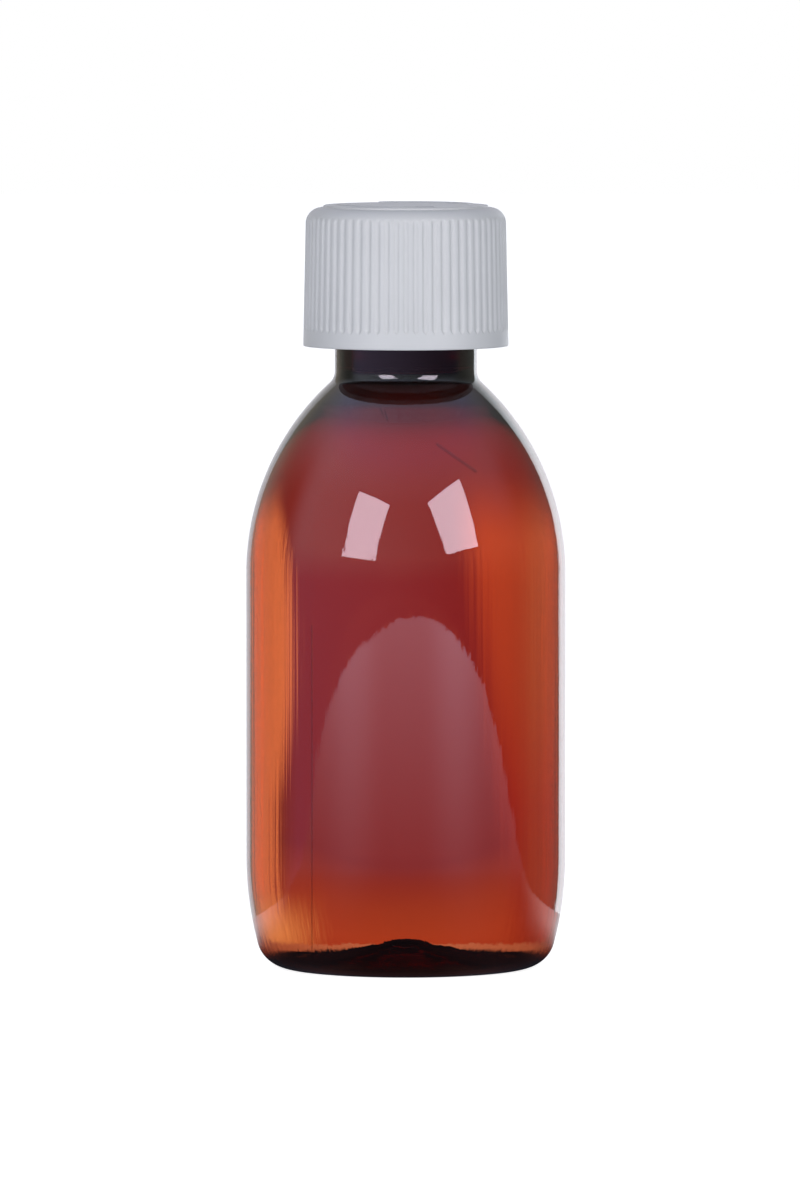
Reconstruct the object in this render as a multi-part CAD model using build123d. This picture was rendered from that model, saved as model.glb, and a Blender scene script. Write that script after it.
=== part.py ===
from build123d import *
import math
import os

# Amber PET medicine bottle with a two-shell, push-and-turn child-resistant closure.
# Millimetres, +Z up, origin at the centre of the base on the surface it stands on.

# ---------------------------------------------------------------- driving dimensions
body_radius = 30.0          # outside of the straight wall
body_wall = 0.7
shoulder_start = 74.3       # height where the wall turns into the shoulder
shoulder_radius = 48.5      # radius of the shoulder's single arc
neck_radius = 13.35         # plain neck seen below the closure
neck_fillet = 3.0           # between the shoulder and the neck
bore_radius = 10.2          # clear bore of the mouth
seal_height = 136.55        # sealing land at the top of the neck
lip_rounding = 0.6

# inside of the shoulder: the blown wall stays thin, then thickens into a cone that meets the bore
thin_arc_radius = 47.6
thin_arc_end = 24.0         # degrees
thickening_radius = 35.0
thickening_end = 44.0       # degrees

heel_radius = 6.2           # tight arc between the standing ring and the side
heel_turn = 15.0            # degrees left to the wide arc that runs on into the straight wall
ring_outer_radius = 21.9    # flat ring that the bottle stands on
ring_width = 1.4
base_thickness = 1.3        # at the gate; the heel is as thin as the wall
push_up = 4.0               # height of the base's dome above the standing ring
dome_flat_radius = 3.0      # gate area at the top of the dome
gate_radius = 1.6
gate_drop = 0.5

thread_pitch = 3.175        # 8 threads per inch, 28 mm finish
thread_root_radius = 12.4
thread_crest_radius = 13.65
thread_turns = 1.75
thread_start = 128.6        # height of the lower end of the neck's thread
ridge_root_width = 1.7
ridge_crest_width = 0.8
ridge_bury = 0.3            # how far a ridge is sunk into the wall that carries it

bead_radius = 14.3          # tamper bead that holds the band down
bead_bottom = 119.8
bead_land = 0.8
bead_ramp = 1.3

closure_top = 143.3
closure_bottom = 116.9
shell_bottom_radius = 19.25
shell_taper = 1.15          # degrees, inwards towards the top
shell_wall = 1.35
shell_top_wall = 1.1
shell_corner_radius = 2.9
ceiling_fillet = 1.5
disc_radius = 15.35         # raised disc on the closure's top
disc_height = 0.45
disc_rounding = 0.3
rib_count = 66
rib_bottom = 119.4
rib_top = 141.4             # the grooves run out on the corner below this
groove_radius = 0.45
groove_depth = 0.3

push_travel = 1.5           # how far the shell is pushed down to engage the lugs
running_gap = 0.05          # between faces of pieces that rest against each other

liner_thickness = 1.15
liner_radius = 13.5
inner_bore_radius = 14.0
inner_wall = 1.4
inner_thread_crest_radius = 12.75
inner_thread_turns = 2.0
inner_plate = 1.2
inner_bottom = 120.3
entry_chamfer = 0.6         # inside and outside edges of the inner cap
flange_radius = 17.1
flange_height = 1.2

retaining_radius = 16.6     # inside of the shell's snap bead, under the flange
retaining_height = 1.3

lug_count = 12
lug_inner_radius = 9.4
lug_outer_radius = 13.2
lug_height = 1.2
lug_angle = 9.0             # degrees taken by one lug at its foot
lug_ramp = 4.0              # degrees of that taken by its sloping flank

finger_count = 6
finger_ring_inner = 5.6
finger_ring_outer = 8.6
finger_ring_height = 0.6
finger_length = 5.0
finger_root = 1.2           # level part of a finger, where it joins the ring
finger_width = 1.8
finger_thickness = 0.55

band_inner_radius = 13.6
band_outer_radius = 15.9
band_bottom = 117.4
band_top = 120.0
band_lead = 0.3             # chamfer, and the clearance round the bead
bridge_count = 12
bridge_radius = 0.35
bridge_circle_radius = 15.0

arrow_count = 2
arrow_radius = 12.3         # mean radius of the turn arrows on the closure's top
arrow_width = 1.3
arrow_sweep = 100.0         # degrees
arrow_height = 0.25
arrow_bury = 0.1            # how far an arrow is sunk into the disc
arrow_head_length = 3.2
arrow_head_width = 3.4

# ---------------------------------------------------------------- derived heights
disc_base = closure_top - disc_height
shell_ceiling = disc_base - shell_top_wall
liner_bottom = seal_height + running_gap
plate_bottom = liner_bottom + liner_thickness + running_gap
plate_top = plate_bottom + inner_plate
retaining_top = inner_bottom - running_gap
half_lug_step = 180 / lug_count


def revolve_outline(edges):
    """Turn a closed outline, drawn as radius and height, about the axis."""
    return revolve(Plane.XZ * make_face(edges), axis=Axis.Z)


def polar_point(radius, angle, centre=(0, 0)):
    """Point in the plane at a radius and an angle, in degrees, from a centre."""
    turn = math.radians(angle)
    return (centre[0] + radius * math.cos(turn), centre[1] + radius * math.sin(turn))


def nearest_rim(solid, radius, height):
    """The solid's circular edge that lies nearest to a radius and height."""
    rims = solid.edges().filter_by(GeomType.CIRCLE)
    return rims.sort_by(lambda e: abs(e.arc_center.Z - height) + abs(e.radius - radius))[0]


def shell_radius(height):
    """Outside radius of the tapered shell at a height."""
    return shell_bottom_radius - (height - closure_bottom) * math.tan(math.radians(shell_taper))


def thread_ridge(carrier_radius, crest_radius, turns, start_height):
    """Right-hand thread ridge, standing outwards or inwards from carrier_radius."""
    outward = 1 if crest_radius > carrier_radius else -1
    foot = -ridge_bury * outward
    crest = crest_radius - carrier_radius
    helix = Helix(thread_pitch, thread_pitch * turns, carrier_radius, center=(0, 0, start_height))
    section = Plane(origin=helix @ 0, x_dir=(1, 0, 0), z_dir=helix % 0) * make_face(
        Polyline(
            (foot, -ridge_root_width / 2),
            (0, -ridge_root_width / 2),
            (crest, -ridge_crest_width / 2),
            (crest, ridge_crest_width / 2),
            (0, ridge_root_width / 2),
            (foot, ridge_root_width / 2),
            close=True,
        )
    )
    return sweep(section, path=helix, is_frenet=True)


# ---------------------------------------------------------------- bottle
def make_bottle():
    """Blown body with its screw neck, tamper bead and pushed-up base."""
    heel_centre = (ring_outer_radius, heel_radius)
    heel_end = polar_point(heel_radius, -heel_turn, heel_centre)
    side_radius = (body_radius - heel_end[0]) / (1 - math.cos(math.radians(heel_turn)))
    side_centre = (body_radius - side_radius, heel_end[1] + side_radius * math.sin(math.radians(heel_turn)))
    arc_centre = body_radius - shoulder_radius
    neck_angle = math.degrees(math.acos((neck_radius - arc_centre) / shoulder_radius))
    neck_base = shoulder_start + shoulder_radius * math.sin(math.radians(neck_angle))

    inner_radius = body_radius - body_wall
    thin_centre = (inner_radius - thin_arc_radius, shoulder_start)
    thin_end = polar_point(thin_arc_radius, thin_arc_end, thin_centre)
    thickening_centre = polar_point(-thickening_radius, thin_arc_end, thin_end)
    cone_start = polar_point(thickening_radius, thickening_end, thickening_centre)
    bore_base = cone_start[1] + (cone_start[0] - bore_radius) / math.tan(math.radians(thickening_end))
    dome_middle_radius = 0.6 * ring_outer_radius
    dome_middle_height = 0.7 * push_up
    ramp_top = bead_bottom + bead_land + bead_ramp

    outside = [
        Line((0, push_up - gate_drop), (gate_radius, push_up - gate_drop)),
        Line((gate_radius, push_up - gate_drop), (gate_radius, push_up)),
        Line((gate_radius, push_up), (dome_flat_radius, push_up)),
        ThreePointArc(
            (dome_flat_radius, push_up),
            (dome_middle_radius, dome_middle_height),
            (ring_outer_radius - ring_width, 0),
        ),
        Line((ring_outer_radius - ring_width, 0), (ring_outer_radius, 0)),
        CenterArc(heel_centre, heel_radius, 270, 90 - heel_turn),
        CenterArc(side_centre, side_radius, -heel_turn, heel_turn),
        Line((body_radius, side_centre[1]), (body_radius, shoulder_start)),
        CenterArc((arc_centre, shoulder_start), shoulder_radius, 0, neck_angle),
        Polyline(
            (neck_radius, neck_base),
            (neck_radius, bead_bottom),
            (bead_radius, bead_bottom),
            (bead_radius, bead_bottom + bead_land),
            (thread_root_radius, ramp_top),
            (thread_root_radius, seal_height - lip_rounding),
            (thread_root_radius - lip_rounding, seal_height),
            (bore_radius, seal_height),
            (bore_radius, bore_base),
            cone_start,
        ),
    ]
    inside = [
        CenterArc(thickening_centre, thickening_radius, thin_arc_end, thickening_end - thin_arc_end),
        CenterArc(thin_centre, thin_arc_radius, 0, thin_arc_end),
        Line((inner_radius, shoulder_start), (inner_radius, side_centre[1])),
        CenterArc(side_centre, side_radius - body_wall, -heel_turn, heel_turn),
        CenterArc(heel_centre, heel_radius - body_wall, 270, 90 - heel_turn),
        ThreePointArc(
            (ring_outer_radius, body_wall),
            (dome_middle_radius, dome_middle_height + base_thickness),
            (dome_flat_radius, push_up + base_thickness),
        ),
        Line((dome_flat_radius, push_up + base_thickness), (0, push_up + base_thickness)),
        Line((0, push_up + base_thickness), (0, push_up - gate_drop)),
    ]
    blown = revolve_outline(outside + inside)
    blown = fillet(nearest_rim(blown, neck_radius, neck_base), neck_fillet)
    return blown + thread_ridge(thread_root_radius, thread_crest_radius, thread_turns, thread_start)


# ---------------------------------------------------------------- tamper band
def make_tamper_band():
    """Band that stays on the neck below the bead, with the stubs of its bridges."""
    hook_top = bead_bottom - band_lead
    band = revolve_outline(
        [
            Polyline(
                (band_inner_radius, band_bottom + band_lead),
                (band_inner_radius + band_lead, band_bottom),
                (band_outer_radius, band_bottom),
                (band_outer_radius, band_top),
                (bead_radius + band_lead, band_top),
                (bead_radius + band_lead, hook_top),
                (band_inner_radius, hook_top),
                close=True,
            )
        ]
    )
    bridge_height = inner_bottom - running_gap - band_top
    stub = Pos(bridge_circle_radius, 0, band_top) * Cylinder(
        bridge_radius, bridge_height, align=(Align.CENTER, Align.CENTER, Align.MIN)
    )
    return band + PolarLocations(0, bridge_count) * stub


# ---------------------------------------------------------------- liner
def make_liner():
    """Foam wad that the closure presses on the sealing land."""
    return Pos(0, 0, liner_bottom) * Cylinder(
        liner_radius, liner_thickness, align=(Align.CENTER, Align.CENTER, Align.MIN)
    )


def lug_ring(foot_height, upward, start_angle):
    """Ring of ratchet lugs: one flank is square and drives, the other slopes and slips."""
    chord = math.radians(1) * (lug_inner_radius + lug_outer_radius) / 2
    half_foot = lug_angle * chord / 2
    ramp_end = lug_ramp * chord - half_foot
    height = lug_height * upward
    flank = Polyline((-half_foot, 0), (half_foot, 0), (half_foot, height), (ramp_end, height), close=True)
    lug = Pos(0, 0, foot_height) * extrude(
        Plane.YZ.offset(lug_inner_radius) * make_face(flank), lug_outer_radius - lug_inner_radius
    )
    return PolarLocations(0, lug_count, start_angle) * lug


# ---------------------------------------------------------------- inner cap
def make_inner_cap():
    """Threaded inner cap that seals the bottle and carries the lower lugs."""
    outer_radius = inner_bore_radius + inner_wall
    flange_top = inner_bottom + flange_height
    cap = revolve_outline(
        [
            Polyline(
                (0, plate_bottom),
                (inner_bore_radius, plate_bottom),
                (inner_bore_radius, flange_top + entry_chamfer),
                (inner_bore_radius + entry_chamfer, flange_top),
                (inner_bore_radius + entry_chamfer, inner_bottom),
                (flange_radius - entry_chamfer, inner_bottom),
                (flange_radius, inner_bottom + entry_chamfer),
                (flange_radius, flange_top),
                (outer_radius, flange_top + entry_chamfer),
                (outer_radius, plate_top - entry_chamfer),
                (outer_radius - entry_chamfer, plate_top),
                (0, plate_top),
                close=True,
            )
        ]
    )
    thread = thread_ridge(
        inner_bore_radius,
        inner_thread_crest_radius,
        inner_thread_turns,
        thread_start - thread_pitch / 2,
    )
    return cap + thread + lug_ring(plate_top, 1, 0)


# ---------------------------------------------------------------- spring fingers
def make_spring_fingers():
    """Ring of sloping fingers that lifts the shell off the inner cap's lugs."""
    ring_top = shell_ceiling - running_gap
    ring_bottom = ring_top - finger_ring_height
    ring = Pos(0, 0, ring_bottom) * (
        Cylinder(finger_ring_outer, finger_ring_height, align=(Align.CENTER, Align.CENTER, Align.MIN))
        - Cylinder(finger_ring_inner, finger_ring_height, align=(Align.CENTER, Align.CENTER, Align.MIN))
    )
    tip = plate_top + running_gap
    half = finger_length / 2
    side = Polyline(
        (-half, ring_top),
        (-half + finger_root, ring_top),
        (half, tip + finger_thickness),
        (half, tip),
        (half - finger_thickness, tip),
        (-half, ring_bottom),
        close=True,
    )
    finger_inner = (finger_ring_inner + finger_ring_outer - finger_width) / 2
    finger = extrude(Plane.YZ.offset(finger_inner) * make_face(side), finger_width)
    return ring + PolarLocations(0, finger_count) * finger


# ---------------------------------------------------------------- outer cap
def turn_arrow(start_angle):
    """Raised curved arrow on the closure's top, pointing anticlockwise."""
    head_angle = start_angle + arrow_sweep
    outer = arrow_radius + arrow_width / 2
    inner = arrow_radius - arrow_width / 2
    tip_angle = head_angle + math.degrees(arrow_head_length / arrow_radius)
    bar = make_face(
        [
            CenterArc((0, 0), outer, start_angle, arrow_sweep),
            Line(polar_point(outer, head_angle), polar_point(inner, head_angle)),
            CenterArc((0, 0), inner, start_angle, arrow_sweep),
            Line(polar_point(inner, start_angle), polar_point(outer, start_angle)),
        ]
    )
    head = make_face(
        Polyline(
            polar_point(arrow_radius - arrow_head_width / 2, head_angle),
            polar_point(arrow_radius + arrow_head_width / 2, head_angle),
            polar_point(arrow_radius, tip_angle),
            close=True,
        )
    )
    return extrude(Pos(0, 0, closure_top - arrow_bury) * (bar + head), arrow_height + arrow_bury)


def make_outer_cap():
    """Ribbed outer shell with its snap bead, upper lugs and raised top disc."""
    top_radius = shell_radius(disc_base)
    inner_bottom_radius = shell_bottom_radius - shell_wall
    inner_top_radius = top_radius - shell_wall
    shell = revolve_outline(
        [
            Polyline(
                (0, shell_ceiling),
                (inner_top_radius, shell_ceiling),
                (inner_bottom_radius, retaining_top),
                (retaining_radius, retaining_top),
                (retaining_radius, retaining_top - retaining_height / 2),
                (inner_bottom_radius, retaining_top - retaining_height),
                (inner_bottom_radius, closure_bottom),
                (shell_bottom_radius, closure_bottom),
                (top_radius, disc_base),
                (disc_radius, disc_base),
                (disc_radius, closure_top),
                (0, closure_top),
                close=True,
            )
        ]
    )
    shell = fillet(nearest_rim(shell, top_radius, disc_base), shell_corner_radius)
    shell = fillet(nearest_rim(shell, disc_radius, closure_top), disc_rounding)
    shell = fillet(nearest_rim(shell, inner_top_radius, shell_ceiling), ceiling_fillet)

    centre_offset = groove_radius - groove_depth
    groove_line = Line(
        (shell_radius(rib_bottom) + centre_offset, 0, rib_bottom),
        (shell_radius(rib_top) + centre_offset, 0, rib_top),
    )
    groove = sweep(
        Plane(origin=groove_line @ 0, z_dir=groove_line % 0) * Circle(groove_radius), path=groove_line
    )
    shell -= PolarLocations(0, rib_count) * groove

    arrows = [turn_arrow(i * 360 / arrow_count) for i in range(arrow_count)]
    return shell + lug_ring(shell_ceiling, -1, half_lug_step) + arrows


os.makedirs("parts", exist_ok=True)
makers = {
    "bottle": make_bottle,
    "tamper_band": make_tamper_band,
    "liner": make_liner,
    "inner_cap": make_inner_cap,
    "spring_fingers": make_spring_fingers,
    "outer_cap": make_outer_cap,
}
for name, maker in makers.items():
    solid = maker()
    solid.label = name
    export_step(solid, f"parts/{name}.step")
    print(name, round(solid.volume, 2), "mm3, valid:", solid.is_valid)
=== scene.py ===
"""Amber medicine bottle with a white push-and-turn closure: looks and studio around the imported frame."""
import math
import bmesh
import bpy
import numpy as np
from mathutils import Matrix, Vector


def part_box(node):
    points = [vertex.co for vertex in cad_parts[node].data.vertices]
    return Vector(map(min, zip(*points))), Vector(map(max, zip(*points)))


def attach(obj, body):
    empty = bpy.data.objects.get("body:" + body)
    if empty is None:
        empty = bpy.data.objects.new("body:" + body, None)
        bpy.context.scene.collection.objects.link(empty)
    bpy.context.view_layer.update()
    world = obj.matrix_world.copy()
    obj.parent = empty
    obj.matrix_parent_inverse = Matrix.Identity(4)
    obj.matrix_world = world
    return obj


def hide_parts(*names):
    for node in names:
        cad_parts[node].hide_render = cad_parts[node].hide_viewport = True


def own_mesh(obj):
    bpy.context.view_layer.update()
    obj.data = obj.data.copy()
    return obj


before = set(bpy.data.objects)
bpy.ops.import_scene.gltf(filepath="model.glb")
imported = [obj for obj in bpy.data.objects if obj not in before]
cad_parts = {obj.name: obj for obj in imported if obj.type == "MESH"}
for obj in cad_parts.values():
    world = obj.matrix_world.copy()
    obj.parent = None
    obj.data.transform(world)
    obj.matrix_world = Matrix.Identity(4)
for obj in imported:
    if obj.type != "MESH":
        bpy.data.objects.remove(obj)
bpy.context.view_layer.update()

# ---------- sizes, in metres
MM = 0.001
_, bottle_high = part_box("bottle")
band_low, band_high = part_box("tamper_band")
liner_low, liner_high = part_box("liner")
inner_low, inner_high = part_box("inner_cap")
spring_low, spring_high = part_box("spring_fingers")
shell_low, shell_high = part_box("outer_cap")

body_radius = bottle_high.x
seal_height = bottle_high.z
body_wall = 0.7 * MM
shoulder_start = 74.3 * MM
shoulder_radius = 48.5 * MM
neck_radius = 13.35 * MM
neck_fillet = 3.0 * MM
bore_radius = 10.2 * MM
heel_radius = 6.2 * MM  # tight arc above the standing ring, followed by a wide one
heel_turn = 15.0  # degrees left to the wide arc
ring_outer = 21.9 * MM
base_thickness = 1.3 * MM
dome_rise = 2.6 * MM  # base pushed up in a low dome with a bump and a moulding gate in its middle
bump_rise = 1.2 * MM
gate_radius = 1.6 * MM
gate_height = 0.5 * MM
crease_waves = [(5, 1.0, 0.6), (8, 0.6, 2.1), (13, 0.35, 0.9)]  # waves round the base, strength, phase
crease_base = 1.6  # lifts the lowest creases up to the dome
crease_height = 0.22 * MM
crease_start = (2 * MM, 7 * MM)
crease_end = (15 * MM, 21 * MM)
crease_limit = 6.3 * MM  # creases stay below this height
ring_width = 1.4 * MM
thin_arc = 47.6 * MM  # inside of the shoulder: a thin arc, a thickening arc and a cone up to the bore
thin_arc_end = 24.0  # degrees
thickening_arc = 35.0 * MM
thickening_end = 44.0  # degrees
thread_root = 12.4 * MM
thread_depth = 1.25 * MM
thread_pitch = 3.175 * MM
thread_turns = 1.75
ridge_foot_width = 1.7 * MM
ridge_crest_width = 0.8 * MM
thread_start = 128.6 * MM
thread_fade = 0.07  # share of the thread's length over which it grows and fades
bead_radius = 14.3 * MM
bead_bottom = 119.8 * MM
parting_angle = math.radians(234.5)
parting_height = 0.008 * MM
parting_width = 0.10 * MM

rib_count = 66
rib_depth = 0.30 * MM
rib_half_width = 0.52 * MM
groove_side = (-0.26 * MM, 0.24 * MM)  # start and end of a groove's side, from a rib's half width
rib_foot = (119.75 * MM, 120.25 * MM)  # the grooves grow to their full depth between these heights
shell_taper = math.tan(math.radians(1.15))
shell_corner = 2.95 * MM
arrow_height = 0.25 * MM
disc_top = shell_high.z - arrow_height
disc_base = disc_top - 0.45 * MM
disc_radius = 15.5 * MM
shell_wall = 1.35 * MM
ceiling = disc_base - 1.1 * MM
snap_radius = 16.6 * MM  # ledge inside the skirt that holds the inner cap
snap_top = 120.25 * MM

lug_spacing = 30.0  # degrees between the ratchet lugs of the inner cap and of the shell's ceiling
lug_pitch = math.radians(lug_spacing)
lug_height = 1.2 * MM
lug_inner = 9.4 * MM
lug_outer = 13.2 * MM
lug_gap = 0.05 * MM  # the shell's ring of lugs is wider by this on both sides
lug_half_width = 4.5  # degrees
lug_slope = 4.0  # degrees over which a lug rises
edge = 0.02 * MM  # width left for the nearly upright sides of a step


# ---------- mesh helpers
def smooth(low, high, value):
    """Smooth step from 0 at low to 1 at high."""
    t = np.clip((value - low) / (high - low), 0, 1)
    return t * t * (3 - 2 * t)


def arc(centre, radius, start, end, count):
    """Points on a round arc, angles in degrees."""
    t = np.radians(np.linspace(start, end, count))
    return np.column_stack((centre[0] + radius * np.cos(t), centre[1] + radius * np.sin(t)))


def line(start, end, count):
    """Evenly spaced points from start to end."""
    t = np.linspace(0, 1, count)[:, None]
    return np.array(start) * (1 - t) + np.array(end) * t


def outline(*stretches):
    """One profile from several stretches, without repeated points."""
    points = np.vstack(stretches)
    step = np.hypot(*np.diff(points, axis=0).T)
    return points[np.concatenate(([True], step > 1e-7))]


def even_angles(count):
    """Evenly spaced angles round a full turn."""
    return np.arange(count) * 2 * math.pi / count


def finish_mesh(name, verts, faces, body, material, replaces):
    """Make a smooth-shaded object that rides on a body and stands for CAD nodes."""
    mesh = bpy.data.meshes.new(name)
    mesh.from_pydata([tuple(v) for v in verts], [], faces)
    mesh.validate()
    cleaned = bmesh.new()
    cleaned.from_mesh(mesh)
    bmesh.ops.recalc_face_normals(cleaned, faces=cleaned.faces)
    cleaned.to_mesh(mesh)
    cleaned.free()
    mesh.shade_smooth()
    piece = bpy.data.objects.new(name, mesh)
    bpy.context.scene.collection.objects.link(piece)
    mesh.materials.append(material)
    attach(piece, body)
    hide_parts(*replaces)
    return piece


def lathe_parts(profile, angles, relief=None, closed=False):
    """Vertices and faces of a profile turned about Z; relief moves each point outwards and upwards."""
    radius, height = profile[:, 0], profile[:, 1]
    angle_grid, radius_grid = np.meshgrid(angles, radius)
    height_grid = np.repeat(height[:, None], len(angles), 1)
    if relief:
        move_out, move_up = relief(angle_grid, radius_grid, height_grid)
        radius_grid = radius_grid + move_out
        height_grid = height_grid + move_up
    count = len(angles)
    verts, rings = [], []
    for i in range(len(profile)):
        if radius[i] < 1e-9:
            rings.append([len(verts)])
            verts.append((0.0, 0.0, height_grid[i, 0]))
            continue
        rings.append(list(range(len(verts), len(verts) + count)))
        x, y = radius_grid[i] * np.cos(angles), radius_grid[i] * np.sin(angles)
        verts.extend(zip(x, y, height_grid[i]))
    faces = []
    pairs = list(zip(rings, rings[1:]))
    if closed:
        pairs.append((rings[-1], rings[0]))
    for a, b in pairs:
        for j in range(count):
            k = (j + 1) % count
            if len(a) == 1:
                faces.append((a[0], b[j], b[k]))
            elif len(b) == 1:
                faces.append((a[j], b[0], a[k]))
            else:
                faces.append((a[j], b[j], b[k], a[k]))
    return verts, faces


# ---------- material helpers
def bare_material(name):
    """Material with nothing but an output node, its node tree and that node."""
    material = bpy.data.materials.new(name)
    material.use_nodes = True
    tree = material.node_tree
    tree.nodes.clear()
    return material, tree, tree.nodes.new("ShaderNodeOutputMaterial")


def new_material(name):
    """Material with one Principled shader, its shader node and its output node."""
    material, tree, output = bare_material(name)
    shader = tree.nodes.new("ShaderNodeBsdfPrincipled")
    tree.links.new(shader.outputs["BSDF"], output.inputs["Surface"])
    return material, shader, output


def feed(tree, value, socket):
    """Give a socket a plain value, or link another node's output to it."""
    if isinstance(value, (int, float, tuple)):
        socket.default_value = value
    else:
        tree.links.new(value, socket)


def math_node(tree, operation, *values):
    """Result of one sum with one or two values."""
    node = tree.nodes.new("ShaderNodeMath")
    node.operation = operation
    for socket, value in zip(node.inputs, values):
        feed(tree, value, socket)
    return node.outputs[0]


def times(tree, first, second):
    return math_node(tree, "MULTIPLY", first, second)


def plus(tree, first, second):
    return math_node(tree, "ADD", first, second)


def minus(tree, first, second):
    return math_node(tree, "SUBTRACT", first, second)


def step_node(tree, value, low, high):
    """0 below low, 1 above high, smooth between them."""
    node = tree.nodes.new("ShaderNodeMapRange")
    node.interpolation_type = "SMOOTHSTEP"
    node.inputs["From Min"].default_value = low
    node.inputs["From Max"].default_value = high
    tree.links.new(value, node.inputs["Value"])
    return node.outputs["Result"]


def fade_node(tree, value, low, high):
    """1 below low, 0 above high, smooth between them."""
    return minus(tree, 1.0, step_node(tree, value, low, high))


def coordinates(tree, kind):
    """X, Y, Z and the whole vector of a point in the object, or of a ray's direction in the world."""
    place = tree.nodes.new("ShaderNodeTexCoord")
    split = tree.nodes.new("ShaderNodeSeparateXYZ")
    tree.links.new(place.outputs[kind], split.inputs[0])
    return (*split.outputs, place.outputs[kind])


def mix_node(tree, factor, first, second):
    """Blend of two colours: first where the factor is 0, second where it is 1."""
    node = tree.nodes.new("ShaderNodeMix")
    node.data_type = "RGBA"
    colours = [s for s in node.inputs if s.type == "RGBA"]
    feed(tree, factor, node.inputs[0])
    for socket, value in zip(colours, (first, second)):
        feed(tree, (*value, 1) if isinstance(value, tuple) else value, socket)
    return next(s for s in node.outputs if s.type == "RGBA")


def vector_node(tree, operation, *vectors):
    """Node that works on whole vectors or colours."""
    node = tree.nodes.new("ShaderNodeVectorMath")
    node.operation = operation
    for socket, vector in zip(node.inputs, vectors):
        tree.links.new(vector, socket)
    return node


def scale_node(tree, colour, factor):
    """Colour made brighter or darker by a factor."""
    node = vector_node(tree, "SCALE", colour)
    feed(tree, factor, node.inputs["Scale"])
    return node.outputs[0]


def ramp_node(tree, value, stops):
    """Colours at given positions, blended between them; they may be brighter than 1."""
    node = tree.nodes.new("ShaderNodeValToRGB")
    peak = max(max(colour) for _, colour in stops)
    elements = node.color_ramp.elements
    while len(elements) < len(stops):
        elements.new(0.5)
    for element, (position, colour) in zip(elements, stops):
        element.position = position
        element.color = (*[part / peak for part in colour], 1)
    tree.links.new(value, node.inputs["Fac"])
    return scale_node(tree, node.outputs["Color"], peak)


def rgb_node(tree, colour):
    """One colour as a node's output."""
    node = tree.nodes.new("ShaderNodeRGB")
    node.outputs[0].default_value = (*colour, 1)
    return node.outputs[0]


def streak_noise(tree, scale, detail):
    """Noise stretched by scale along X, Y and Z of the object's own coordinates."""
    place = tree.nodes.new("ShaderNodeTexCoord")
    stretch = tree.nodes.new("ShaderNodeMapping")
    stretch.inputs["Scale"].default_value = scale
    noise = tree.nodes.new("ShaderNodeTexNoise")
    noise.inputs["Scale"].default_value = 1.0
    noise.inputs["Detail"].default_value = detail
    tree.links.new(place.outputs["Object"], stretch.inputs["Vector"])
    tree.links.new(stretch.outputs["Vector"], noise.inputs["Vector"])
    return noise


def add_bump(tree, shader, height, strength, distance, under=None):
    """Relief on a shader's surface, on top of an earlier relief if there is one."""
    bump = tree.nodes.new("ShaderNodeBump")
    bump.inputs["Strength"].default_value = strength
    bump.inputs["Distance"].default_value = distance
    tree.links.new(height, bump.inputs["Height"])
    if under:
        tree.links.new(under.outputs["Normal"], bump.inputs["Normal"])
    tree.links.new(bump.outputs["Normal"], shader.inputs["Normal"])
    return bump


def ramp_between(tree, factor, low, high):
    """Blend of two colours over the middle range of a noise."""
    ramp = tree.nodes.new("ShaderNodeValToRGB")
    for element, position, colour in zip(ramp.color_ramp.elements, (0.35, 0.65), (low, high)):
        element.position = position
        element.color = (*colour, 1)
    tree.links.new(factor, ramp.inputs["Fac"])
    return ramp


def line_mask(tree, start, end, half_width):
    """1 on a fine straight line between two (x, z) points of the front wall, 0 beside it."""
    x, y, z, _ = coordinates(tree, "Object")
    length = math.dist(start, end)
    run_x, run_z = (end[0] - start[0]) / length, (end[1] - start[1]) / length
    from_x = minus(tree, x, start[0])
    from_z = minus(tree, z, start[1])
    along_x, along_z = times(tree, from_x, run_x), times(tree, from_z, run_z)
    aside_x, aside_z = times(tree, from_x, run_z), times(tree, from_z, run_x)
    along = plus(tree, along_x, along_z)
    aside = math_node(tree, "ABSOLUTE", minus(tree, aside_x, aside_z))
    from_middle = math_node(tree, "ABSOLUTE", minus(tree, along, length / 2))
    beyond = math_node(tree, "MAXIMUM", minus(tree, from_middle, length / 2), 0.0)
    near = fade_node(tree, plus(tree, aside, beyond), 0.0, half_width)
    return times(tree, near, math_node(tree, "LESS_THAN", y, 0.0))


def amber_material():
    """Clear amber PET: absorption inside the wall, drawn streaks, a parting line, a few scratches and
    painted shade on the throat below the neck.
    """
    material, shader, output = new_material("amber_pet")
    tree = material.node_tree
    shader.inputs["Transmission Weight"].default_value = 1.0
    shader.inputs["Roughness"].default_value = 0.0
    shader.inputs["IOR"].default_value = 1.57
    absorb = tree.nodes.new("ShaderNodeVolumeAbsorption")
    absorb.inputs["Color"].default_value = amber_colour
    absorb.inputs["Density"].default_value = amber_density
    tree.links.new(absorb.outputs["Volume"], output.inputs["Volume"])

    _, _, z, _ = coordinates(tree, "Object")
    streaks = streak_noise(tree, streak_scale, 3.0)
    drawn = times(tree, streaks.outputs["Fac"], fade_node(tree, z, streak_full, streak_none))
    under = add_bump(tree, shader, drawn, 0.9, streak_depth)
    marks = None
    for start, end, half_width, dark in amber_marks:
        mark = line_mask(tree, start, end, half_width)
        if dark:
            mark = times(tree, mark, dark)
            marks = math_node(tree, "MAXIMUM", marks, mark) if marks else mark
        else:
            under = add_bump(tree, shader, mark, 1.0, scratch_depth, under)
    # painted shade: the glass's tint darkens on the throat below the neck
    throat_shade = times(tree, step_node(tree, z, *throat_start), fade_node(tree, z, *throat_end))
    tint = mix_node(tree, throat_shade, (1.0, 1.0, 1.0), throat_shade_colour)
    tint = mix_node(tree, marks, tint, mark_colour)
    tree.links.new(tint, shader.inputs["Base Color"])
    return material


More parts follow.
